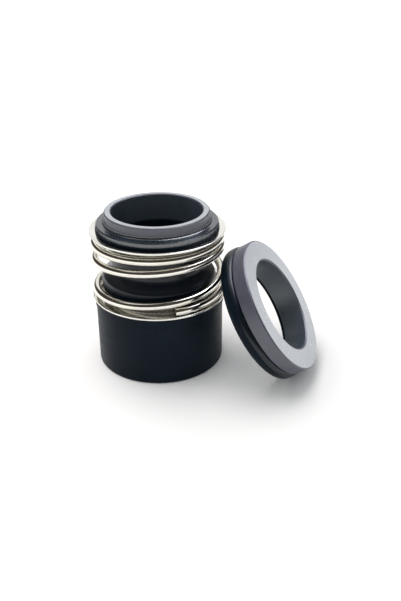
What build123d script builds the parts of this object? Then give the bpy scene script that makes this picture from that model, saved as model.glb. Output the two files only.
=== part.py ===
from build123d import *
import math
import os

# Shaft seal of a water pump, in millimetres. The rotary unit stands on its rubber tail with the shaft
# axis along Z and the foot of the tail at Z = 0. The stationary seat leans on it, on the same floor.
# A section is a list of corners, each with its radius from the axis, its height and its rounding.

# Shaft, and the radial steps outwards from it
shaft_diameter = 25.0
shaft_grip = 0.1            # how far the tail's bore is under the shaft's radius
face_clearance = 0.5        # between the shaft and the rotating face's bore
nose_width = 2.0            # sealing band of the rotating face
face_hub_width = 1.7        # wall of the part of the face that sits in the rubber cup
cup_wall = 1.15
flange_step = 1.6           # rotating face's flange past the cup
lip_margin = 0.2            # rubber lip past that flange
collar_sheet = 0.55
spring_clearance = 0.55     # between a collar's leg and the coil
wire_diameter = 2.4
collar_overhang = 0.05      # collar flange past the coil
tail_inset = 0.75           # tail's body inside the coil's outer radius
band_step = 0.25            # band at the top of the tail past its body
fit_gap = 0.05              # between parts that seat on each other

# Heights, upwards from the foot
tail_height = 21.1
band_height = 2.6           # thicker band at the top of the tail
spring_length = 19.0        # free length, from collar to collar
collar_depth = 3.0          # collar's leg, with its flange
lip_height = 0.7
flange_height = 1.3
nose_height = 3.2
hub_depth = 3.4             # face's hub under its flange

# Rubber wall between the tail and the cup
bulge_height = 3.3
shoulder_height = 2.4
bulge_clearance = 0.5       # between the bulge and the coil
bulge_wall = 1.8
neck_clearance = 0.2        # between the shaft and the neck
neck_wall = 1.1
flare_height = 2.0          # cone from the neck out to the cup

# Spring
spring_turns = 3.32
tail_pitch = 0.75           # rise of the closed turn on the tail collar
head_pitch = 2.8            # rise of the closed turn under the head collar
tail_opening = (0.5, 1.1)   # turns between which the tail end opens up
head_closing = (1.7, 2.35)  # turns between which the head end closes
spring_start = -77.0        # bearing of the cut end, in degrees
points_per_turn = 16        # points of the coil's centre line

# Stationary seat
seat_clearance = 1.2        # between the shaft and the seat's bore
housing_diameter = 40.0     # bore that the seat is pressed into
seat_relief = 0.05          # seat ring inside that bore
boot_squeeze = 0.3          # boot past that bore, on the radius
seat_flange = 4.2
seat_hub_height = 3.1
boot_wall = 3.0             # rubber around the seat's hub
boot_back = 1.0             # rubber behind the seat's hub
boot_lip = 0.4              # boot's hole past the seat's bore
lean_angle = 32.5           # slope of the seat's axis above the floor, in degrees
lean_bearing = -18.0        # direction that the seat's face looks in, in degrees
lean_gap = 0.05             # between the seat's boot and the coil's outer radius

# Roundings and chamfers
foot_rounding = 0.7
rubber_rounding = 0.3
lip_rounding = 0.3
bulge_rounding = 1.4
collar_bend = 0.8           # outer radius of the collar's bend
sheet_rounding = 0.12
bulge_foot_rounding = 0.15
face_edge = 0.3
nose_fillet = 0.8
seat_edge = 0.35
bore_edge = 0.4
boot_front_rounding = 1.4
boot_back_rounding = 1.6
edge_share = 0.4            # most of a wall that a rounding or chamfer on it may take
same_place = 1e-4           # tolerance for finding an edge by its place

shaft_radius = shaft_diameter / 2
face_bore = shaft_radius + face_clearance
nose_radius = face_bore + nose_width
hub_radius = face_bore + face_hub_width
cup_inner = hub_radius + fit_gap
cup_radius = cup_inner + cup_wall
leg_inner = cup_radius + fit_gap
leg_outer = leg_inner + collar_sheet
coil_inner = leg_outer + spring_clearance
coil_outer = coil_inner + wire_diameter
collar_radius = coil_outer + collar_overhang
face_flange = cup_radius + flange_step
lip_radius = face_flange + lip_margin

spring_foot = tail_height + collar_sheet
spring_top = spring_foot + spring_length
lip_foot = spring_top + collar_sheet
flange_foot = lip_foot + lip_height
flange_top = flange_foot + flange_height
nose_top = flange_top + nose_height


def ring(corners):
    """Solid of revolution about Z from (radius, height, rounding) corners."""
    outline = FilletPolyline(
        *[(r, 0, z) for r, z, _ in corners], radius=[rounding for _, _, rounding in corners], close=True
    )
    return revolve(Face(Wire(outline.edges())), Axis.Z)


def within(edge, wall):
    """The rounding or chamfer, or less where the wall is too thin for it."""
    return min(edge, edge_share * abs(wall))


def smooth_step(value, start, end):
    """Goes from 0 at start to 1 at end, with level ends."""
    share = min(max((value - start) / (end - start), 0.0), 1.0)
    return share * share * (3 - 2 * share)


def rotating_face():
    """Hard ring with a raised sealing nose, a flange on the rubber lip and a hub in the cup."""
    hub_foot = flange_foot - hub_depth
    body = ring([
        (face_bore, hub_foot, 0),
        (hub_radius, hub_foot, 0),
        (hub_radius, flange_foot, 0),
        (face_flange, flange_foot, 0),
        (face_flange, flange_top, 0),
        (nose_radius, flange_top, nose_fillet),
        (nose_radius, nose_top, 0),
        (face_bore, nose_top, 0),
    ])
    rims = [(hub_radius, hub_foot), (face_flange, flange_top), (nose_radius, nose_top), (face_bore, nose_top)]
    return chamfer(circles_at(body, rims), face_edge)


def circles_at(body, places):
    """Round edges of a turned body that lie at the given (radius, height) places."""
    return [
        edge for edge in body.edges().filter_by(GeomType.CIRCLE)
        if any(math.dist((edge.radius, edge.arc_center.Z), place) < same_place for place in places)
    ]


def bellows():
    """One rubber moulding: tail that grips the shaft, rolling bulge and neck, and cup with a lip."""
    tail_bore = shaft_radius - shaft_grip
    tail_radius = coil_outer - tail_inset
    band_foot = tail_height - band_height
    band_radius = tail_radius + band_step
    bulge_foot = tail_height + collar_depth + fit_gap
    bulge_top = bulge_foot + bulge_height
    bulge_radius = coil_inner - bulge_clearance
    bulge_inner = bulge_radius - bulge_wall
    neck_inner = shaft_radius + neck_clearance
    neck_radius = neck_inner + neck_wall
    neck_foot = bulge_top + shoulder_height
    flare_top = lip_foot - collar_depth - fit_gap
    cup_floor = flange_foot - hub_depth - fit_gap
    return ring([
        (tail_bore, 0, 0),
        (tail_radius, 0, foot_rounding),
        (tail_radius, band_foot - band_step, 0),
        (band_radius, band_foot, 0),
        (band_radius, tail_height, rubber_rounding),
        (cup_radius, tail_height, 0),
        (cup_radius, bulge_foot, 0),
        (bulge_radius, bulge_foot, bulge_foot_rounding),
        (bulge_radius, bulge_top, bulge_rounding),
        (neck_radius, neck_foot, bulge_rounding),
        (neck_radius, flare_top - flare_height, bulge_rounding),
        (cup_radius, flare_top, rubber_rounding),
        (cup_radius, lip_foot, 0),
        (lip_radius, lip_foot, lip_rounding),
        (lip_radius, flange_foot, lip_rounding),
        (cup_inner, flange_foot, 0),
        (cup_inner, cup_floor, rubber_rounding),
        (neck_inner, cup_floor, rubber_rounding),
        (neck_inner, bulge_top, bulge_rounding),
        (bulge_inner, bulge_top - shoulder_height, bulge_rounding),
        (bulge_inner, bulge_foot, rubber_rounding),
        (tail_bore, bulge_foot - (bulge_inner - tail_bore), rubber_rounding),
    ])


def collar():
    """Pressed steel angle ring with its flange at Z = 0 and its leg upwards, inside the coil."""
    bend_inner = collar_bend - collar_sheet
    return ring([
        (leg_inner, 0, collar_bend),
        (collar_radius, 0, sheet_rounding),
        (collar_radius, collar_sheet, sheet_rounding),
        (leg_outer, collar_sheet, bend_inner),
        (leg_outer, collar_depth, sheet_rounding),
        (leg_inner, collar_depth, sheet_rounding),
    ])


def tail_collar():
    """Collar on the shoulder of the tail."""
    return Pos(0, 0, tail_height) * collar()


def head_collar():
    """The same collar turned over, around the cup and under the lip."""
    return Pos(0, 0, lip_foot) * Rot(180, 0, 0) * collar()


def coil_rise(turn, open_pitch):
    """Rise of the coil per turn: closed at both ends and open between them."""
    opened = smooth_step(turn, *tail_opening)
    closed = smooth_step(turn, *head_closing)
    return tail_pitch * (1 - opened) + open_pitch * opened * (1 - closed) + head_pitch * closed


def spring():
    """Round-wire spring from collar to collar, with unground ends."""
    steps = round(spring_turns * points_per_turn)
    step = spring_turns / steps
    middles = [(i + 0.5) * step for i in range(steps)]
    travel = spring_length - wire_diameter - 2 * fit_gap
    closed_rise = sum(coil_rise(turn, 0.0) for turn in middles) * step
    open_share = sum(coil_rise(turn, 1.0) for turn in middles) * step - closed_rise
    open_pitch = (travel - closed_rise) / open_share
    coil_radius = coil_outer - wire_diameter / 2
    height = spring_foot + fit_gap + wire_diameter / 2
    points = []
    for i in range(steps + 1):
        angle = math.radians(spring_start + 360 * i * step)
        points.append((coil_radius * math.cos(angle), coil_radius * math.sin(angle), height))
        height += coil_rise((i + 0.5) * step, open_pitch) * step
    path = Spline(*points)
    start = Plane(origin=path @ 0, z_dir=path % 0)
    return sweep(start * Circle(wire_diameter / 2), path=path)


def stationary_seat():
    """Hard seat ring in its own place: face at Z = 0 looking up, stepped hub behind it."""
    bore = shaft_radius + seat_clearance
    rim = housing_diameter / 2 - seat_relief
    hub = rim + seat_relief + boot_squeeze - boot_wall
    depth = seat_flange + seat_hub_height
    body = ring([
        (bore, -depth, 0),
        (hub, -depth, 0),
        (hub, -seat_flange, 0),
        (rim, -seat_flange, 0),
        (rim, 0, 0),
        (bore, 0, 0),
    ])
    body = chamfer(circles_at(body, [(rim, 0), (rim, -seat_flange)]), seat_edge)
    body = chamfer(circles_at(body, [(hub, -depth)]), within(seat_edge, hub - bore))
    return chamfer(circles_at(body, [(bore, 0)]), bore_edge)


def seat_boot():
    """Rubber boot around the seat's hub and over its back, with a round outer edge."""
    outer = housing_diameter / 2 + boot_squeeze
    hub = outer - boot_wall + fit_gap
    front = -seat_flange - fit_gap
    back = -seat_flange - seat_hub_height - fit_gap
    foot = back - boot_back
    hole = shaft_radius + seat_clearance + boot_lip
    return ring([
        (hole, foot, rubber_rounding),
        (outer, foot, boot_back_rounding),
        (outer, front, boot_front_rounding),
        (hub, front, rubber_rounding),
        (hub, back, 0),
        (hole, back, within(rubber_rounding, hub - hole)),
    ])


def leaning(body):
    """Sets a seat piece down: lowest edge of the boot on the floor, its back rim against the coil."""
    slope = math.radians(lean_angle)
    bearing = math.radians(lean_bearing)
    depth = seat_flange + seat_hub_height + fit_gap + boot_back - boot_back_rounding
    rim = housing_diameter / 2 + boot_squeeze - boot_back_rounding
    out = (
        coil_outer + lean_gap + boot_back_rounding
        + depth * math.cos(slope) + rim * math.sin(slope)
    )
    up = boot_back_rounding + depth * math.sin(slope) + rim * math.cos(slope)
    normal = (
        math.cos(slope) * math.cos(bearing),
        math.cos(slope) * math.sin(bearing),
        math.sin(slope),
    )
    centre = (out * math.cos(bearing), out * math.sin(bearing), up)
    return Plane(origin=centre, z_dir=normal).location * body


pieces = {
    "rotating_face": rotating_face(),
    "bellows": bellows(),
    "head_collar": head_collar(),
    "spring": spring(),
    "tail_collar": tail_collar(),
    "stationary_seat": leaning(stationary_seat()),
    "seat_boot": leaning(seat_boot()),
}

os.makedirs("parts", exist_ok=True)
for name, piece in pieces.items():
    export_step(piece, os.path.join("parts", name + ".step"))
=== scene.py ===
"""Looks of a pump's shaft seal, in metres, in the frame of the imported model.

The rotary unit stands on its rubber tail with the shaft axis along Z. The stationary seat leans on it.
"""

import logging
import math
from collections.abc import Callable, Sequence
from dataclasses import dataclass
from enum import Enum

import bmesh
import bpy
from mathutils import Euler, Matrix, Vector


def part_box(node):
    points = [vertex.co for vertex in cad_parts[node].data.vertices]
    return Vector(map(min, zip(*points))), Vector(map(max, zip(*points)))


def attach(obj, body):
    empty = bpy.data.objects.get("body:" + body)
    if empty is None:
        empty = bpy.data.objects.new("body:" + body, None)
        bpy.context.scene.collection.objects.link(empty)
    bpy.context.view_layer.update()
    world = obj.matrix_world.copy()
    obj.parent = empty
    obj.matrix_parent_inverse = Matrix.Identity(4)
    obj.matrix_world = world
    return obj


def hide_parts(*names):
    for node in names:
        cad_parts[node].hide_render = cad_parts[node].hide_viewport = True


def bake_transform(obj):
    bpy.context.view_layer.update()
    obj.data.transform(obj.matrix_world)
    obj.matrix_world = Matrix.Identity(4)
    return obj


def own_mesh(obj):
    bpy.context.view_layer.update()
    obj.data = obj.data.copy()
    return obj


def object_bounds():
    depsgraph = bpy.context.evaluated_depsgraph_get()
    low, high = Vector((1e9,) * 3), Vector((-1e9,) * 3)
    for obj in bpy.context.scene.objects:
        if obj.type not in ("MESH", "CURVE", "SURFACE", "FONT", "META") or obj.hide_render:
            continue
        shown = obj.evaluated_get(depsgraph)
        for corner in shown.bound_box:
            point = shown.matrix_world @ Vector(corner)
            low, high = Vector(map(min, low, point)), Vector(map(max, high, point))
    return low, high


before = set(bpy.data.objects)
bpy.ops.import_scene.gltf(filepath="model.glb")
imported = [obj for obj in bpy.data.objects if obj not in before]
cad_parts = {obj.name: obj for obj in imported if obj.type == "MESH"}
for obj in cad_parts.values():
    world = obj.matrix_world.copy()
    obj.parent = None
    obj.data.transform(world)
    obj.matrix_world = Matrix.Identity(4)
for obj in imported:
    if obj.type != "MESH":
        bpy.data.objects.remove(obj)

CAD_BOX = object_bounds()
MM = 0.001
AROUND = 160
ARC_SEGMENTS = 6
SMOOTH_ANGLE = math.radians(35)
SAME_PLACE = 1e-6
PHOTO_LONG_SIDE = 601
SENSOR = 36.0
WHITE = (1.0, 1.0, 1.0, 1.0)
NOISE_SPAN = (0.3, 0.7)
GRAIN_FINENESS = 14.0

Colour = tuple[float, float, float]
Span = tuple[float, float]

log = logging.getLogger("shaft_seal")


class Body(Enum):
    """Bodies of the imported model."""

    BASE = "base"
    HEAD = "head"


class Slot(Enum):
    """Material slots of the record."""

    HARD_RING = "hard_ring"
    BLACK_RUBBER = "black_rubber"
    PRESSED_STEEL = "pressed_steel"
    SPRING_WIRE = "spring_wire"


def foot_of(node: str) -> float:
    """Height of a node's lowest point."""
    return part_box(node)[0].z


def top_of(node: str) -> float:
    """Height of a node's highest point."""
    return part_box(node)[1].z


def smooth_step(value: float, start: float, end: float) -> float:
    """Goes from 0 at start to 1 at end, with level ends."""
    share = min(max((value - start) / (end - start), 0.0), 1.0)
    return share * share * (3 - 2 * share)


@dataclass(frozen=True)
class Corner:
    """One corner of a turned section.

    radius and height are its place. rounding is the radius of its arc, or the leg of its chamfer if flat is
    true.
    """

    radius: float
    height: float
    rounding: float = 0.0
    flat: bool = False

    def towards(self, other: "Corner") -> Vector:
        """Direction from this corner to another one, in the plane of the section."""
        return Vector((other.radius - self.radius, other.height - self.height)).normalized()


@dataclass(frozen=True)
class Seating:
    """Place and turn of a piece's own axis in the frame."""

    place: Vector
    turn: Euler

    def matrix(self) -> Matrix:
        """Takes a point of a piece turned about the frame's Z axis to its seat."""
        return Matrix.Translation(self.place) @ self.turn.to_matrix().to_4x4()


UPRIGHT = Seating(Vector((0.0, 0.0, 0.0)), Euler((0.0, 0.0, 0.0)))


def start_edit(piece: bpy.types.Object, select_mode: str) -> None:
    """Opens a piece in edit mode with nothing selected.

    Args:
        piece: The mesh object to edit.
        select_mode: VERT, EDGE or FACE.
    """
    bpy.ops.object.mode_set(mode="OBJECT")
    bpy.ops.object.select_all(action="DESELECT")
    piece.select_set(True)
    bpy.context.view_layer.objects.active = piece
    bpy.ops.object.mode_set(mode="EDIT")
    bpy.ops.mesh.select_mode(type=select_mode)
    bpy.ops.mesh.select_all(action="DESELECT")


def select_ring(piece: bpy.types.Object, corner: Corner) -> None:
    """Selects the edges that run round the Z axis at a corner.

    Args:
        piece: The mesh object in edit mode.
        corner: Radius and height of the ring of edges.
    """
    mesh = bmesh.from_edit_mesh(piece.data)
    on_ring = {
        vertex
        for vertex in mesh.verts
        if abs(vertex.co.z - corner.height) < SAME_PLACE
        and abs(math.hypot(vertex.co.x, vertex.co.y) - corner.radius) < SAME_PLACE
    }
    for edge in mesh.edges:
        if on_ring.issuperset(edge.verts):
            edge.select_set(True)
    bmesh.update_edit_mesh(piece.data)


def add_first_ring(name: str, sides: int, radius: float) -> bpy.types.Object:
    """Adds a circle about the origin, opened in edit mode with all of it selected.

    Args:
        name: Name of the new piece.
        sides: Number of edges.
        radius: Radius in metres.

    Returns:
        The new mesh object.
    """
    if bpy.context.object is not None:
        bpy.ops.object.mode_set(mode="OBJECT")
    bpy.ops.object.select_all(action="DESELECT")
    bpy.context.tool_settings.mesh_select_mode = (False, True, False)
    bpy.ops.mesh.primitive_circle_add(vertices=sides, radius=radius, enter_editmode=True)
    piece = bpy.context.object
    piece.name = name
    piece.data.name = name
    return piece


def turned(name: str, corners: Sequence[Corner]) -> bpy.types.Object:
    """Models a ring as a lathe would: a circle is extruded and scaled from corner to corner.

    Args:
        name: Name of the new piece.
        corners: Corners of the closed section, in order.

    Returns:
        The new mesh object, about the Z axis.
    """
    first = corners[0]
    piece = add_first_ring(name, AROUND, first.radius)
    bpy.ops.transform.translate(value=(0, 0, first.height))
    for last, corner in zip(corners, corners[1:]):
        step = corner.height - last.height
        scale = corner.radius / last.radius
        bpy.ops.mesh.extrude_region_move(TRANSFORM_OT_translate={"value": (0, 0, step)})
        bpy.ops.transform.resize(value=(scale, scale, 1), center_override=(0, 0, 0))
    start_edit(piece, "EDGE")
    select_ring(piece, first)
    select_ring(piece, corners[-1])
    bpy.ops.mesh.bridge_edge_loops()
    bpy.ops.mesh.select_all(action="SELECT")
    bpy.ops.mesh.normals_make_consistent(inside=False)
    for index, corner in enumerate(corners):
        if corner.rounding:
            bevel_ring(piece, corners[index - 1], corner, corners[(index + 1) % len(corners)])
    bpy.ops.object.mode_set(mode="OBJECT")
    return piece


def bevel_ring(piece: bpy.types.Object, before: Corner, corner: Corner, after: Corner) -> None:
    """Rounds or chamfers the ring of edges at a corner.

    Args:
        piece: The mesh object in edit mode.
        before: The corner before it in the section.
        corner: The corner to bevel.
        after: The corner after it.
    """
    turn = before.towards(corner).angle(corner.towards(after))
    offset = corner.rounding if corner.flat else corner.rounding * math.tan(turn / 2)
    bpy.ops.mesh.select_all(action="DESELECT")
    select_ring(piece, corner)
    bpy.ops.mesh.bevel(
        offset=offset, segments=1 if corner.flat else ARC_SEGMENTS, profile=0.5, affect="EDGES"
    )


def finish_surface(piece: bpy.types.Object) -> None:
    """Smooths a piece by angle and weights its normals, so that flats stay flat beside arcs.

    Args:
        piece: The mesh object.
    """
    bpy.ops.object.select_all(action="DESELECT")
    piece.select_set(True)
    bpy.context.view_layer.objects.active = piece
    bpy.ops.object.shade_smooth_by_angle(angle=SMOOTH_ANGLE)
    bpy.ops.object.modifier_add(type="WEIGHTED_NORMAL")
    weighting = piece.modifiers[-1]
    weighting.keep_sharp = True
    bpy.ops.object.modifier_apply(modifier=weighting.name)


def seat(piece: bpy.types.Object, seating: Seating) -> None:
    """Takes a piece to its seat and applies its place, so that its object stays at the origin.

    Args:
        piece: The mesh object, modelled about the Z axis.
        seating: Where the piece's own axis goes.
    """
    bpy.ops.object.select_all(action="DESELECT")
    piece.select_set(True)
    bpy.context.view_layer.objects.active = piece
    piece.matrix_world = seating.matrix()
    bpy.ops.object.transform_apply(location=True, rotation=True, scale=True)


def assign(
    piece: bpy.types.Object, material: bpy.types.Material, wanted: Callable[[Vector, Vector], bool]
) -> None:
    """Gives a material to the faces of a piece that a rule picks.

    Args:
        piece: The mesh object.
        material: The material, added as a new slot.
        wanted: Takes a face's centre and normal, and says whether it gets the material.
    """
    piece.data.materials.append(material)
    start_edit(piece, "FACE")
    mesh = bmesh.from_edit_mesh(piece.data)
    for face in mesh.faces:
        face.select_set(wanted(face.calc_center_median(), face.normal))
    bmesh.update_edit_mesh(piece.data)
    piece.active_material_index = len(piece.data.materials) - 1
    bpy.ops.object.material_slot_assign()
    bpy.ops.object.mode_set(mode="OBJECT")


def declare(piece: bpy.types.Object, node: str) -> None:
    """Hides the CAD node that a piece stands for, and logs the piece's face count against it.

    Args:
        piece: The new piece.
        node: The node that it replaces.
    """
    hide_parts(node)
    log.info("%s: %d faces, for node %s", piece.name, len(piece.data.polygons), node)


class NodeTree:
    """Shorthand for filling a node tree."""

    def __init__(self, tree: bpy.types.NodeTree) -> None:
        """Wraps a tree."""
        self.tree = tree

    def add(self, kind: str, inputs: dict | None = None, **settings: object) -> bpy.types.Node:
        """Adds a node.

        Args:
            kind: Type name of the node, without its ShaderNode prefix.
            inputs: Sockets by name or number, each with a value or with the output to link to it.
            settings: Properties of the node.

        Returns:
            The new node.
        """
        node = self.tree.nodes.new("ShaderNode" + kind)
        for name, value in settings.items():
            setattr(node, name, value)
        for key, value in (inputs or {}).items():
            self.set(node.inputs[key], value)
        return node

    def set(self, socket: bpy.types.NodeSocket, value: object) -> None:
        """Links an output to a socket, or gives the socket a value.

        Args:
            socket: The input socket.
            value: An output socket, or the value.
        """
        if isinstance(value, bpy.types.NodeSocket):
            self.tree.links.new(value, socket)
        else:
            socket.default_value = value

    def math(self, operation: str, *values: object) -> bpy.types.NodeSocket:
        """Adds a maths node and gives its result."""
        return self.add("Math", dict(enumerate(values)), operation=operation).outputs[0]

    def blend(self, share: object, low: object, high: object) -> bpy.types.NodeSocket:
        """Mixes two colours.

        Args:
            share: How much of the second colour, from 0 to 1.
            low: The first colour.
            high: The second colour.

        Returns:
            The socket that holds the mixed colour.
        """
        node = self.add("Mix", data_type="RGBA")
        for socket, value in zip((node.inputs[0], node.inputs[6], node.inputs[7]), (share, low, high)):
            self.set(socket, value)
        return node.outputs[2]

    def remap(
        self, value: object, source: Sequence[object], target: Sequence[object]
    ) -> bpy.types.NodeSocket:
        """Maps a value from one range to another, with level ends.

        Args:
            value: The value, or the socket that holds it.
            source: Start and end of its range.
            target: Start and end of the new range.

        Returns:
            The socket that holds the new value.
        """
        ends = {"From Min": source[0], "From Max": source[1], "To Min": target[0], "To Max": target[1]}
        node = self.add("MapRange", {"Value": value, **ends}, interpolation_type="SMOOTHSTEP")
        return node.outputs[0]


def new_group(name: str, inputs: Sequence[str]) -> tuple[bpy.types.NodeTree, NodeTree, bpy.types.Node]:
    """Starts a shader group that takes a Vector and named values, and puts out one Mask.

    Args:
        name: Name of the group.
        inputs: Names of its value sockets.

    Returns:
        The group's tree, its shorthand and its input node.
    """
    group = bpy.data.node_groups.new(name, "ShaderNodeTree")
    group.interface.new_socket("Vector", in_out="INPUT", socket_type="NodeSocketVector")
    for label in inputs:
        group.interface.new_socket(label, in_out="INPUT", socket_type="NodeSocketFloat")
    group.interface.new_socket("Mask", in_out="OUTPUT", socket_type="NodeSocketFloat")
    return group, NodeTree(group), group.nodes.new("NodeGroupInput")


def lay_group() -> bpy.types.NodeTree:
    """Makes the group of fine lines round the Z axis, as turning, lapping, pressing and drawing leave them.

    Returns:
        The group, with Across and Along as the lines' frequencies.
    """
    group, nodes, start = new_group("round_lay", ("Across", "Along"))
    parts = nodes.add("SeparateXYZ", {0: start.outputs["Vector"]})
    flat = nodes.add("CombineXYZ", {0: parts.outputs[0], 1: parts.outputs[1]})
    radius = nodes.add("VectorMath", {0: flat.outputs[0]}, operation="LENGTH").outputs["Value"]
    cosine = nodes.math("DIVIDE", parts.outputs[0], radius)
    sine = nodes.math("DIVIDE", parts.outputs[1], radius)
    place = nodes.add(
        "CombineXYZ",
        {
            0: nodes.math("MULTIPLY", radius, start.outputs["Across"]),
            1: nodes.math("MULTIPLY", parts.outputs[2], start.outputs["Across"]),
            2: nodes.math("MULTIPLY", cosine, start.outputs["Along"]),
        },
    )
    lines = nodes.add(
        "TexNoise",
        {
            "Vector": place.outputs[0],
            "W": nodes.math("MULTIPLY", sine, start.outputs["Along"]),
            "Scale": 1.0,
            "Detail": 3.0,
            "Roughness": 0.6,
        },
        noise_dimensions="4D",
    )
    end = group.nodes.new("NodeGroupOutput")
    nodes.set(end.inputs["Mask"], lines.outputs[0])
    return group


def mottle_group() -> bpy.types.NodeTree:
    """Makes the group of soft patches with a finer grain in them, as on moulded and sintered surfaces.

    Returns:
        The group, with Scale for the patches and Grain for how much the grain shows.
    """
    group, nodes, start = new_group("mottle", ("Scale", "Grain"))
    patches = nodes.add(
        "TexNoise", {"Vector": start.outputs["Vector"], "Scale": start.outputs["Scale"], "Detail": 4.0}
    )
    fine_scale = nodes.math("MULTIPLY", start.outputs["Scale"], GRAIN_FINENESS)
    fine = nodes.add("TexNoise", {"Vector": start.outputs["Vector"], "Scale": fine_scale, "Detail": 2.0})
    grain = nodes.math("MULTIPLY", nodes.math("SUBTRACT", fine.outputs[0], 0.5), start.outputs["Grain"])
    end = group.nodes.new("NodeGroupOutput")
    nodes.set(end.inputs["Mask"], nodes.math("ADD", patches.outputs[0], grain))
    return group


ROUND_LAY = lay_group()
MOTTLE = mottle_group()


@dataclass(frozen=True)
class Finish:
    """A surface finish, worked out from soft patches and from fine lines round the piece's axis.

    The colours are at the low and the high end of the patches. line_tint says how much the lines darken the
    colour. line_depth and grain_depth are depths in metres.
    """

    name: str
    low_colour: Colour
    high_colour: Colour
    low_roughness: float
    high_roughness: float
    metallic: float = 0.0
    ior: float = 1.5
    patch_scale: float = 120.0
    grain: float = 0.5
    lines_across: float = 9000.0
    lines_along: float = 6.0
    line_tint: float = 0.1
    line_depth: float = 2e-6
    grain_scale: float = 4000.0
    grain_depth: float = 0.0

    def material(self, seating: Seating = UPRIGHT) -> bpy.types.Material:
        """Makes the material.

        Args:
            seating: Where the piece's own axis is, for the lines that run round it.

        Returns:
            A new material.
        """
        material = bpy.data.materials.new(self.name)
        material.use_nodes = True
        nodes = NodeTree(material.node_tree)
        shader = material.node_tree.nodes["Principled BSDF"]
        place = nodes.add("TexCoord").outputs["Object"]
        if seating is not UPRIGHT:
            place = nodes.add(
                "Mapping",
                {"Vector": place, "Location": seating.place, "Rotation": seating.turn},
                vector_type="TEXTURE",
            ).outputs[0]
        patches = nodes.add("Group", node_tree=MOTTLE)
        lines = nodes.add("Group", node_tree=ROUND_LAY)
        for node, values in (
            (patches, {"Vector": place, "Scale": self.patch_scale, "Grain": self.grain}),
            (lines, {"Vector": place, "Across": self.lines_across, "Along": self.lines_along}),
        ):
            for label, value in values.items():
                nodes.set(node.inputs[label], value)
        patch = nodes.remap(patches.outputs[0], NOISE_SPAN, (0.0, 1.0))
        line = nodes.remap(lines.outputs[0], NOISE_SPAN, (0.0, 1.0))
        body = nodes.blend(patch, (*self.low_colour, 1.0), (*self.high_colour, 1.0))
        dark = tuple(channel * (1 - self.line_tint) for channel in self.low_colour)
        share = nodes.math("MULTIPLY", line, self.line_tint)
        nodes.set(shader.inputs["Base Color"], nodes.blend(share, body, (*dark, 1.0)))
        roughness = (self.low_roughness, self.high_roughness)
        nodes.set(
            shader.inputs["Roughness"],
            nodes.remap(nodes.math("ADD", patch, line), (0.0, 2.0), roughness),
        )
        nodes.set(shader.inputs["Normal"], self.relief(nodes, place, lines.outputs[0]))
        shader.inputs["Metallic"].default_value = self.metallic
        shader.inputs["IOR"].default_value = self.ior
        return material

    def relief(
        self, nodes: NodeTree, place: bpy.types.NodeSocket, lines: bpy.types.NodeSocket
    ) -> bpy.types.NodeSocket:
        """Adds the bump of the lines, and of the grain if there is any.

        Args:
            nodes: The material's tree.
            place: Place on the piece, from its own axis.
            lines: Height of the lines.

        Returns:
            The socket that holds the normal.
        """
        bump = nodes.add("Bump", {"Height": lines, "Distance": self.line_depth, "Strength": 1.0})
        if not self.grain_depth:
            return bump.outputs[0]
        grain = nodes.add("TexNoise", {"Vector": place, "Scale": self.grain_scale, "Detail": 2.0})
        sizes = {"Distance": self.grain_depth, "Strength": 1.0}
        second = nodes.add("Bump", {"Height": grain.outputs[0], "Normal": bump.outputs[0], **sizes})
        return second.outputs[0]


RUBBER = Finish(
    "moulded_rubber",
    low_colour=(0.0030, 0.0078, 0.0140),
    high_colour=(0.0048, 0.0115, 0.0195),
    low_roughness=0.34,
    high_roughness=0.46,
    ior=1.18,
    patch_scale=90.0,
    lines_across=1500.0,
    lines_along=3.0,
    line_tint=0.2,
    line_depth=1e-6,
    grain_depth=4e-6,
)
GLOSSY_RUBBER = Finish(
    "glossy_rubber",
    low_colour=(0.0030, 0.0070, 0.0130),
    high_colour=(0.0045, 0.0095, 0.0170),
    low_roughness=0.30,
    high_roughness=0.38,
    ior=1.45,
    patch_scale=90.0,
    lines_across=1500.0,
    lines_along=3.0,
    line_tint=0.2,
    line_depth=1e-6,
    grain_depth=3e-6,
)
LAPPED = Finish(
    "lapped_hard_face",
    low_colour=(0.385, 0.415, 0.46),
    high_colour=(0.435, 0.465, 0.51),
    low_roughness=0.20,
    high_roughness=0.28,
    metallic=0.4,
    ior=2.4,
    line_tint=0.06,
    line_depth=0.4e-6,
)
GROUND = Finish(
    "ground_hard_ring",
    low_colour=(0.062, 0.065, 0.092),
    high_colour=(0.084, 0.087, 0.118),
    low_roughness=0.38,
    high_roughness=0.52,
    ior=1.8,
    line_tint=0.2,
    line_depth=1e-6,
    grain_depth=2e-6,
)
SINTERED = Finish(
    "sintered_bore",
    low_colour=(0.040, 0.056, 0.074),
    high_colour=(0.054, 0.072, 0.092),
    low_roughness=0.36,
    high_roughness=0.46,
    ior=2.0,
    line_tint=0.1,
    line_depth=1e-6,
    grain_depth=4e-6,
)
# Painted shade: a far darker copy of the hard ring's colour, standing in for the shade and dark reflections
# round the foot of the nose.
PAINTED_SHADE_FLANGE = Finish(
    "flange_painted_shade",
    low_colour=(0.009, 0.016, 0.024),
    high_colour=(0.014, 0.022, 0.032),
    low_roughness=0.22,
    high_roughness=0.32,
    ior=2.2,
    line_tint=0.1,
    line_depth=1e-6,
    grain_depth=3e-6,
)
DRAWN_WIRE = Finish(
    "drawn_wire",
    low_colour=(0.74, 0.71, 0.64),
    high_colour=(0.84, 0.82, 0.75),
    low_roughness=0.10,
    high_roughness=0.18,
    metallic=1.0,
    lines_across=5200.0,
    lines_along=2.0,
    line_tint=0.12,
    line_depth=1e-6,
)
PRESSED_SHEET = Finish(
    "pressed_sheet",
    low_colour=(0.78, 0.77, 0.72),
    high_colour=(0.86, 0.85, 0.80),
    low_roughness=0.12,
    high_roughness=0.2,
    metallic=1.0,
    lines_across=7000.0,
    lines_along=4.0,
    line_tint=0.08,
    line_depth=0.6e-6,
)


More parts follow.
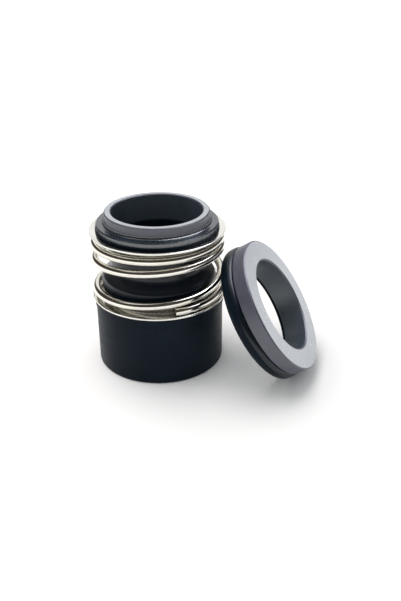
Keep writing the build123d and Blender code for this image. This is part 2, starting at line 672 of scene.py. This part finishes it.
@dataclass(frozen=True)
class RotatingFace:
    """Hard ring with a raised sealing nose, a flange on the rubber lip and a hub in the cup."""

    bore: float = 13.0 * MM
    hub: float = 14.7 * MM
    nose: float = 15.0 * MM
    flange: float = 17.5 * MM
    hub_depth: float = 3.4 * MM
    flange_height: float = 1.3 * MM
    edge: float = 0.3 * MM
    nose_fillet: float = 0.8 * MM
    level: float = 1e-5

    def build(self) -> bpy.types.Object:
        """Models and dresses the ring, and returns it."""
        top = top_of("rotating_face")
        hub_foot = foot_of("rotating_face")
        flange_foot = hub_foot + self.hub_depth
        flange_top = flange_foot + self.flange_height
        ring = turned("rotating_ring", [
            Corner(self.bore, hub_foot),
            Corner(self.hub, hub_foot, self.edge, flat=True),
            Corner(self.hub, flange_foot),
            Corner(self.flange, flange_foot),
            Corner(self.flange, flange_top, self.edge, flat=True),
            Corner(self.nose, flange_top, self.nose_fillet),
            Corner(self.nose, top, self.edge, flat=True),
            Corner(self.bore, top, self.edge, flat=True),
        ])
        finish_surface(ring)
        assign(ring, GROUND.material(), lambda centre, normal: True)
        # Painted shade: the flange, the fillet at the nose's foot and the hub below them take the darker
        # colour.
        shade_top = flange_top + self.nose_fillet
        wall = self.bore + self.level
        assign(ring, PAINTED_SHADE_FLANGE.material(), lambda centre, normal: centre.z < shade_top)
        assign(ring, SINTERED.material(), lambda centre, normal: centre.xy.length < wall)
        assign(ring, LAPPED.material(), lambda centre, normal: centre.z > top - self.level)
        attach(ring, Body.HEAD.value)
        declare(ring, "rotating_face")
        return ring


@dataclass(frozen=True)
class Bellows:
    """One rubber moulding: tail that grips the shaft, rolling bulge and neck, and cup with a lip."""

    tail_bore: float = 12.4 * MM
    tail: float = 18.7 * MM
    band: float = 18.95 * MM
    band_height: float = 2.6 * MM
    cup: float = 15.9 * MM
    cup_inner: float = 14.75 * MM
    cup_depth: float = 3.45 * MM
    lip: float = 17.7 * MM
    lip_height: float = 0.7 * MM
    bulge: float = 16.55 * MM
    bulge_inner: float = 14.75 * MM
    bulge_height: float = 3.3 * MM
    shoulder_height: float = 2.4 * MM
    neck: float = 13.8 * MM
    neck_inner: float = 12.7 * MM
    flare_height: float = 2.0 * MM
    fit_gap: float = 0.05 * MM
    foot_rounding: float = 0.7 * MM
    soft_rounding: float = 0.3 * MM
    lip_rounding: float = 0.3 * MM
    roll_rounding: float = 1.4 * MM
    bulge_foot_rounding: float = 0.15 * MM

    def section(self) -> list[Corner]:
        """Corners of the moulding's section."""
        foot = foot_of("bellows")
        tail_top = foot_of("tail_collar")
        band_foot = tail_top - self.band_height
        bulge_foot = top_of("tail_collar") + self.fit_gap
        bulge_top = bulge_foot + self.bulge_height
        flare_top = foot_of("head_collar") - self.fit_gap
        lip_top = top_of("bellows")
        lip_foot = lip_top - self.lip_height
        cup_floor = lip_top - self.cup_depth
        return [
            Corner(self.tail_bore, foot),
            Corner(self.tail, foot, self.foot_rounding),
            Corner(self.tail, band_foot - (self.band - self.tail)),
            Corner(self.band, band_foot),
            Corner(self.band, tail_top, self.soft_rounding),
            Corner(self.cup, tail_top),
            Corner(self.cup, bulge_foot),
            Corner(self.bulge, bulge_foot, self.bulge_foot_rounding),
            Corner(self.bulge, bulge_top, self.roll_rounding),
            Corner(self.neck, bulge_top + self.shoulder_height, self.roll_rounding),
            Corner(self.neck, flare_top - self.flare_height, self.roll_rounding),
            Corner(self.cup, flare_top, self.soft_rounding),
            Corner(self.cup, lip_foot),
            Corner(self.lip, lip_foot, self.lip_rounding),
            Corner(self.lip, lip_top, self.lip_rounding),
            Corner(self.cup_inner, lip_top),
            Corner(self.cup_inner, cup_floor, self.soft_rounding),
            Corner(self.neck_inner, cup_floor, self.soft_rounding),
            Corner(self.neck_inner, bulge_top, self.roll_rounding),
            Corner(self.bulge_inner, bulge_top - self.shoulder_height, self.roll_rounding),
            Corner(self.bulge_inner, bulge_foot, self.soft_rounding),
            Corner(self.tail_bore, bulge_foot - (self.bulge_inner - self.tail_bore), self.soft_rounding),
        ]

    def build(self) -> bpy.types.Object:
        """Models and dresses the moulding, and returns it."""
        rubber = turned("rubber_bellows", self.section())
        finish_surface(rubber)
        assign(rubber, RUBBER.material(), lambda centre, normal: True)
        low, high = top_of("tail_collar"), foot_of("head_collar")
        assign(rubber, GLOSSY_RUBBER.material(), lambda centre, normal: low < centre.z < high)
        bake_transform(rubber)
        declare(rubber, "bellows")
        return rubber


@dataclass(frozen=True)
class Collar:
    """Pressed steel angle ring between the coil and the rubber."""

    name: str
    node: str
    body: Body
    flange_up: bool
    leg: float = 15.95 * MM
    sheet: float = 0.55 * MM
    flange: float = 19.5 * MM
    depth: float = 3.0 * MM
    bend: float = 0.8 * MM
    edge: float = 0.12 * MM

    def build(self) -> bpy.types.Object:
        """Models and dresses the collar, and returns it."""
        seat_height = top_of(self.node) if self.flange_up else foot_of(self.node)
        way = -1 if self.flange_up else 1
        corners = [
            Corner(self.leg, seat_height, self.bend),
            Corner(self.flange, seat_height, self.edge),
            Corner(self.flange, seat_height + way * self.sheet, self.edge),
            Corner(self.leg + self.sheet, seat_height + way * self.sheet, self.bend - self.sheet),
            Corner(self.leg + self.sheet, seat_height + way * self.depth, self.edge),
            Corner(self.leg, seat_height + way * self.depth, self.edge),
        ]
        collar = turned(self.name, corners)
        finish_surface(collar)
        assign(collar, PRESSED_SHEET.material(), lambda centre, normal: True)
        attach(collar, self.body.value)
        declare(collar, self.node)
        return collar


@dataclass(frozen=True)
class CoilSpring:
    """Round-wire spring, closed at both ends and open between them."""

    wire: float = 1.2 * MM
    coil: float = 18.25 * MM
    turns: float = 3.32
    tail_pitch: float = 0.75 * MM
    head_pitch: float = 2.8 * MM
    tail_opening: Span = (0.5, 1.1)
    head_closing: Span = (1.7, 2.35)
    start: float = math.radians(-77)
    sides: int = 24
    steps_per_turn: int = 64
    end_rounding: float = 0.12 * MM

    def rise(self, turn: float, open_pitch: float) -> float:
        """Rise of the coil per turn.

        Args:
            turn: Turns from the tail end.
            open_pitch: Pitch of the open stretch.

        Returns:
            The pitch there, in metres.
        """
        opened = smooth_step(turn, *self.tail_opening)
        closed = smooth_step(turn, *self.head_closing)
        middle = open_pitch * opened * (1 - closed)
        return self.tail_pitch * (1 - opened) + middle + self.head_pitch * closed

    def build(self) -> bpy.types.Object:
        """Models the wire step by step, dresses it and returns it."""
        foot = foot_of("spring") + self.wire
        travel = top_of("spring") - self.wire - foot
        steps = round(self.turns * self.steps_per_turn)
        step = self.turns / steps
        middles = [(index + 0.5) * step for index in range(steps)]
        closed_rise = sum(self.rise(turn, 0.0) for turn in middles) * step
        open_share = sum(self.rise(turn, 1.0) for turn in middles) * step - closed_rise
        open_pitch = (travel - closed_rise) / open_share
        spring = add_first_ring("coil_spring", self.sides, self.wire)
        bpy.ops.transform.rotate(value=math.pi / 2, orient_axis="X", center_override=(0, 0, 0))
        bpy.ops.transform.translate(value=(self.coil, 0, foot))
        self.go_round(self.start)
        for turn in middles:
            lift = self.rise(turn, open_pitch) * step
            bpy.ops.mesh.extrude_region_move(TRANSFORM_OT_translate={"value": (0, 0, lift)})
            self.go_round(2 * math.pi * step)
        self.close_ends(spring)
        finish_surface(spring)
        assign(spring, DRAWN_WIRE.material(), lambda centre, normal: True)
        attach(spring, Body.BASE.value)
        return spring

    def go_round(self, angle: float) -> None:
        """Turns what is selected about the Z axis, anticlockwise from above."""
        bpy.ops.transform.rotate(value=-angle, orient_axis="Z", center_override=(0, 0, 0))

    def close_ends(self, spring: bpy.types.Object) -> None:
        """Caps both cut ends and rounds their edges.

        Args:
            spring: The open tube of wire.
        """
        start_edit(spring, "EDGE")
        bpy.ops.mesh.select_non_manifold(extend=False, use_wire=False)
        bpy.ops.mesh.edge_face_add()
        mesh = bmesh.from_edit_mesh(spring.data)
        caps = [face for face in mesh.faces if len(face.verts) == self.sides]
        rims = {edge for face in caps for edge in face.edges}
        for edge in mesh.edges:
            edge.select_set(edge in rims)
        bmesh.update_edit_mesh(spring.data)
        bpy.ops.mesh.bevel(offset=self.end_rounding, segments=2, profile=0.5, affect="EDGES")
        bpy.ops.mesh.select_all(action="SELECT")
        bpy.ops.mesh.normals_make_consistent(inside=False)
        bpy.ops.object.mode_set(mode="OBJECT")

    def shorten(self, spring: bpy.types.Object) -> None:
        """Args:
            spring: The finished spring.
        """
        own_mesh(spring)
        declare(spring, "spring")


@dataclass(frozen=True)
class Seat:
    """Hard seat ring in its rubber boot. Both are turned about their own axis, face up, and then leant."""

    bore: float = 13.7 * MM
    rim: float = 19.95 * MM
    hub: float = 17.3 * MM
    flange_height: float = 4.2 * MM
    hub_height: float = 3.1 * MM
    edge: float = 0.35 * MM
    bore_edge: float = 0.4 * MM
    boot: float = 20.3 * MM
    boot_hole: float = 14.1 * MM
    boot_back: float = 1.0 * MM
    boot_front_rounding: float = 1.4 * MM
    boot_back_rounding: float = 1.6 * MM
    soft_rounding: float = 0.3 * MM
    fit_gap: float = 0.05 * MM
    slope: float = math.radians(32.5)
    bearing: float = math.radians(-18.0)
    level: float = 1e-5

    def reach(self, along: float) -> float:
        """How far the ring reaches past its face's centre.

        Args:
            along: Cosine between the direction and the ring's axis.

        Returns:
            The distance in that direction, in metres.
        """
        across = math.sqrt(1 - along * along)
        edges = (
            (self.rim - self.edge, 0.0),
            (self.rim, -self.edge),
            (self.rim, self.edge - self.flange_height),
            (self.rim - self.edge, -self.flange_height),
        )
        return max(radius * across + depth * along for radius, depth in edges)

    def seating(self) -> Seating:
        """Finds the face's centre and the turn of the axis from the ring's box."""
        normal = Vector((
            math.cos(self.slope) * math.cos(self.bearing),
            math.cos(self.slope) * math.sin(self.bearing),
            math.sin(self.slope),
        ))
        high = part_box("stationary_seat")[1]
        centre = Vector([high[axis] - self.reach(normal[axis]) for axis in range(3)])
        return Seating(centre, normal.to_track_quat("Z", "Y").to_euler())

    def build(self) -> list[bpy.types.Object]:
        """Models and dresses the ring and its boot, and returns both."""
        seating = self.seating()
        log.info("seat face at %s", tuple(round(value / MM, 3) for value in seating.place))
        pieces = [self.ring(seating), self.rubber(seating)]
        for piece in pieces:
            seat(piece, seating)
            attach(piece, Body.BASE.value)
        declare(pieces[0], "stationary_seat")
        declare(pieces[1], "seat_boot")
        return pieces

    def ring(self, seating: Seating) -> bpy.types.Object:
        """Models the hard ring about the Z axis, its lapped face at the origin.

        Args:
            seating: Where the ring goes, for its finishes.

        Returns:
            The new mesh object.
        """
        depth = self.flange_height + self.hub_height
        ring = turned("seat_ring", [
            Corner(self.bore, -depth),
            Corner(self.hub, -depth, self.edge, flat=True),
            Corner(self.hub, -self.flange_height),
            Corner(self.rim, -self.flange_height, self.edge, flat=True),
            Corner(self.rim, 0.0, self.edge, flat=True),
            Corner(self.bore, 0.0, self.bore_edge, flat=True),
        ])
        finish_surface(ring)
        assign(ring, GROUND.material(seating), lambda centre, normal: True)
        wall = self.bore + self.level
        assign(ring, SINTERED.material(seating), lambda centre, normal: centre.xy.length < wall)
        assign(ring, LAPPED.material(seating), lambda centre, normal: centre.z > -self.level)
        return ring

    def rubber(self, seating: Seating) -> bpy.types.Object:
        """Models the boot about the Z axis, behind the ring's flange.

        Args:
            seating: Where the boot goes, for its finishes.

        Returns:
            The new mesh object.
        """
        front = -self.flange_height - self.fit_gap
        back = front - self.hub_height
        foot = back - self.boot_back
        boot = turned("seat_rubber", [
            Corner(self.boot_hole, foot, self.soft_rounding),
            Corner(self.boot, foot, self.boot_back_rounding),
            Corner(self.boot, front, self.boot_front_rounding),
            Corner(self.hub + self.fit_gap, front, self.soft_rounding),
            Corner(self.hub + self.fit_gap, back),
            Corner(self.boot_hole, back, self.soft_rounding),
        ])
        finish_surface(boot)
        assign(boot, RUBBER.material(seating), lambda centre, normal: True)
        rounding_foot = front - self.boot_front_rounding
        assign(
            boot, GLOSSY_RUBBER.material(seating),
            lambda centre, normal: centre.z > rounding_foot and centre.xy.length > self.hub,
        )
        return boot


@dataclass(frozen=True)
class Studio:
    """Pale floor, soft light all round and the camera at the photograph's angle."""

    floor_side: float = 6.0
    floor_colour: Colour = (0.86, 0.86, 0.86)
    floor_glow: float = 0.4
    glow_from: float = 0.05
    glow_to: float = 0.25
    floor_seen: float = 1.05
    sky_colour: Colour = (0.97, 1.0, 1.0)
    sky_level: float = 0.60
    dark_colour: Colour = (0.06, 0.05, 0.045)
    dark_foot: Span = (5.0, 2.0)
    dark_top: Span = (52.0, 96.0)
    foot_blur: float = 4.0
    top_blur: float = 6.0
    window_level: float = 1.05
    window_side: Span = (0.92, 0.98)
    window_foot: Span = (8.0, 16.0)
    skylight_colour: Colour = (7.0, 7.2, 8.0)
    skylight_way: tuple[float, float, float] = (0.30, 0.30, 0.906)
    skylight_rim: Span = (0.90, 0.94)
    key_place: tuple[float, float, float] = (-0.28, 0.20, 0.80)
    key_side: float = 0.8
    key_power: float = 5.5
    key_colour: Colour = (1.0, 0.95, 0.94)
    focal_pixels: float = 745.7
    camera_place: tuple[float, float, float] = (0.0, -198.76 * MM, 120.04 * MM)
    pitch: float = math.radians(27.37)
    yaw: float = math.radians(3.51)
    roll: float = math.radians(-0.31)

    def build(self) -> None:
        """Sets up the whole studio."""
        self.floor()
        self.world()
        self.key()
        self.camera()

    def floor(self) -> None:
        """Lays a wide pale floor under the object.

        What the camera and glossy surfaces see of it turns white away from the object, from glow_from to
        glow_to metres, and keeps the shadow beside it.
        """
        bpy.ops.object.select_all(action="DESELECT")
        bpy.ops.mesh.primitive_plane_add(size=self.floor_side, location=(0, 0, CAD_BOX[0].z))
        plane = bpy.context.object
        plane.name = "floor"
        material = bpy.data.materials.new("pale_floor")
        material.use_nodes = True
        nodes = NodeTree(material.node_tree)
        material.node_tree.nodes.remove(material.node_tree.nodes["Principled BSDF"])
        path = nodes.add("LightPath")
        seen = nodes.math("MAXIMUM", path.outputs["Is Camera Ray"], path.outputs["Is Glossy Ray"])
        white = (self.floor_seen, self.floor_seen, self.floor_seen, 1.0)
        matt = nodes.add("BsdfDiffuse", {"Color": nodes.blend(seen, (*self.floor_colour, 1.0), white)})
        place = nodes.add("TexCoord").outputs["Object"]
        away = nodes.add("VectorMath", {0: place}, operation="LENGTH")
        fade = nodes.remap(away.outputs["Value"], (self.glow_from, self.glow_to), (0.0, self.floor_glow))
        glow = nodes.add("Emission", {"Strength": nodes.math("MULTIPLY", seen, fade)})
        both = nodes.add("AddShader", {0: matt.outputs[0], 1: glow.outputs[0]})
        nodes.set(material.node_tree.nodes["Material Output"].inputs["Surface"], both.outputs[0])
        plane.data.materials.append(material)

    def world(self) -> None:
        """Makes a white room. Its dark stretch, window and skylight show in gloss only.

        The dark stretch runs all round, from dark_foot to dark_top in degrees above the horizon, each given
        at the back and at the front. window_side is in cosines from due back, and skylight_rim in cosines
        from the skylight's middle.
        """
        world = bpy.data.worlds.new("studio")
        world.use_nodes = True
        bpy.context.scene.world = world
        nodes = NodeTree(world.node_tree)
        place = nodes.add("TexCoord").outputs["Generated"]
        parts = nodes.add("SeparateXYZ", {0: place})
        north, up = parts.outputs[1], parts.outputs[2]
        rise = nodes.math("DEGREES", nodes.math("ARCSINE", up))
        level = nodes.math("SQRT", nodes.math("SUBTRACT", 1.0001, nodes.math("MULTIPLY", up, up)))
        back = nodes.math("DIVIDE", north, level)
        walls = nodes.blend(self.dark_stretch(nodes, rise, back), WHITE, (*self.dark_colour, 1.0))
        towards = nodes.add("VectorMath", {0: place, 1: self.skylight_way}, operation="DOT_PRODUCT")
        overhead = nodes.remap(towards.outputs["Value"], self.skylight_rim, (0.0, 1.0))
        room = nodes.blend(overhead, walls, (*self.skylight_colour, 1.0))
        sideways = nodes.remap(back, self.window_side, (0.0, 1.0))
        upwards = nodes.remap(rise, self.window_foot, (0.0, 1.0))
        window = (self.window_level, self.window_level, self.window_level, 1.0)
        glossy = nodes.blend(nodes.math("MULTIPLY", sideways, upwards), room, window)
        path = nodes.add("LightPath")
        plain = nodes.blend(path.outputs["Is Camera Ray"], (*self.sky_colour, 1.0), WHITE)
        direct = nodes.math("MAXIMUM", path.outputs["Is Camera Ray"], path.outputs["Is Glossy Ray"])
        strength = nodes.add("Mix", {0: direct, 2: self.sky_level, 3: 1.0}, data_type="FLOAT")
        background = world.node_tree.nodes["Background"]
        nodes.set(background.inputs["Color"], nodes.blend(path.outputs["Is Glossy Ray"], plain, glossy))
        nodes.set(background.inputs["Strength"], strength.outputs[0])

    def dark_stretch(
        self, nodes: NodeTree, rise: bpy.types.NodeSocket, back: bpy.types.NodeSocket
    ) -> bpy.types.NodeSocket:
        """Works out where the room is dark.

        Args:
            nodes: The world's tree.
            rise: Height of a direction above the horizon, in degrees.
            back: Cosine of its bearing from due back.

        Returns:
            The socket that is 1 in the dark stretch and 0 outside it.
        """
        foot = nodes.remap(back, (0.0, -1.0), self.dark_foot)
        top = nodes.remap(back, (0.0, -1.0), self.dark_top)
        over_foot = nodes.math("SUBTRACT", rise, foot)
        under_top = nodes.math("SUBTRACT", top, rise)
        above = nodes.remap(over_foot, (-self.foot_blur, self.foot_blur), (0.0, 1.0))
        below = nodes.remap(under_top, (-self.top_blur, self.top_blur), (0.0, 1.0))
        return nodes.math("MULTIPLY", above, below)

    def key(self) -> None:
        """Hangs a large soft lamp high at the left, a little behind the object. It doesn't show in gloss."""
        lamp = bpy.data.lights.new("key", "AREA")
        lamp.size = self.key_side
        lamp.energy = self.key_power
        lamp.color = self.key_colour
        holder = bpy.data.objects.new("key", lamp)
        bpy.context.scene.collection.objects.link(holder)
        holder.location = self.key_place
        holder.visible_glossy = False
        holder.rotation_euler = Vector(self.key_place).to_track_quat("Z", "Y").to_euler()

    def camera(self) -> None:
        """Places the camera at the photograph's viewpoint."""
        lens = bpy.data.cameras.new("camera")
        lens.sensor_width = SENSOR
        lens.lens = self.focal_pixels / PHOTO_LONG_SIDE * SENSOR
        lens.clip_start = 0.01
        holder = bpy.data.objects.new("camera", lens)
        bpy.context.scene.collection.objects.link(holder)
        ahead = Vector((
            math.sin(self.yaw) * math.cos(self.pitch),
            math.cos(self.yaw) * math.cos(self.pitch),
            -math.sin(self.pitch),
        ))
        level_right = ahead.cross(Vector((0, 0, 1))).normalized()
        level_up = level_right.cross(ahead)
        right = level_right * math.cos(self.roll) + level_up * math.sin(self.roll)
        above = level_up * math.cos(self.roll) - level_right * math.sin(self.roll)
        turn = Matrix((right, above, -ahead)).transposed().to_4x4()
        holder.matrix_world = Matrix.Translation(self.camera_place) @ turn
        bpy.context.scene.camera = holder
        bpy.context.scene.view_settings.view_transform = "Standard"


def main() -> None:
    """Builds the rotary unit, the stationary seat and the studio."""
    logging.basicConfig(level=logging.INFO, format="%(name)s: %(message)s")
    RotatingFace().build()
    Bellows().build()
    Collar("upper_collar", "head_collar", Body.HEAD, flange_up=True).build()
    Collar("lower_collar", "tail_collar", Body.BASE, flange_up=False).build()
    coil = CoilSpring()
    coil.shorten(coil.build())
    Seat().build()
    Studio().build()


if __name__ == "__main__":
    main()
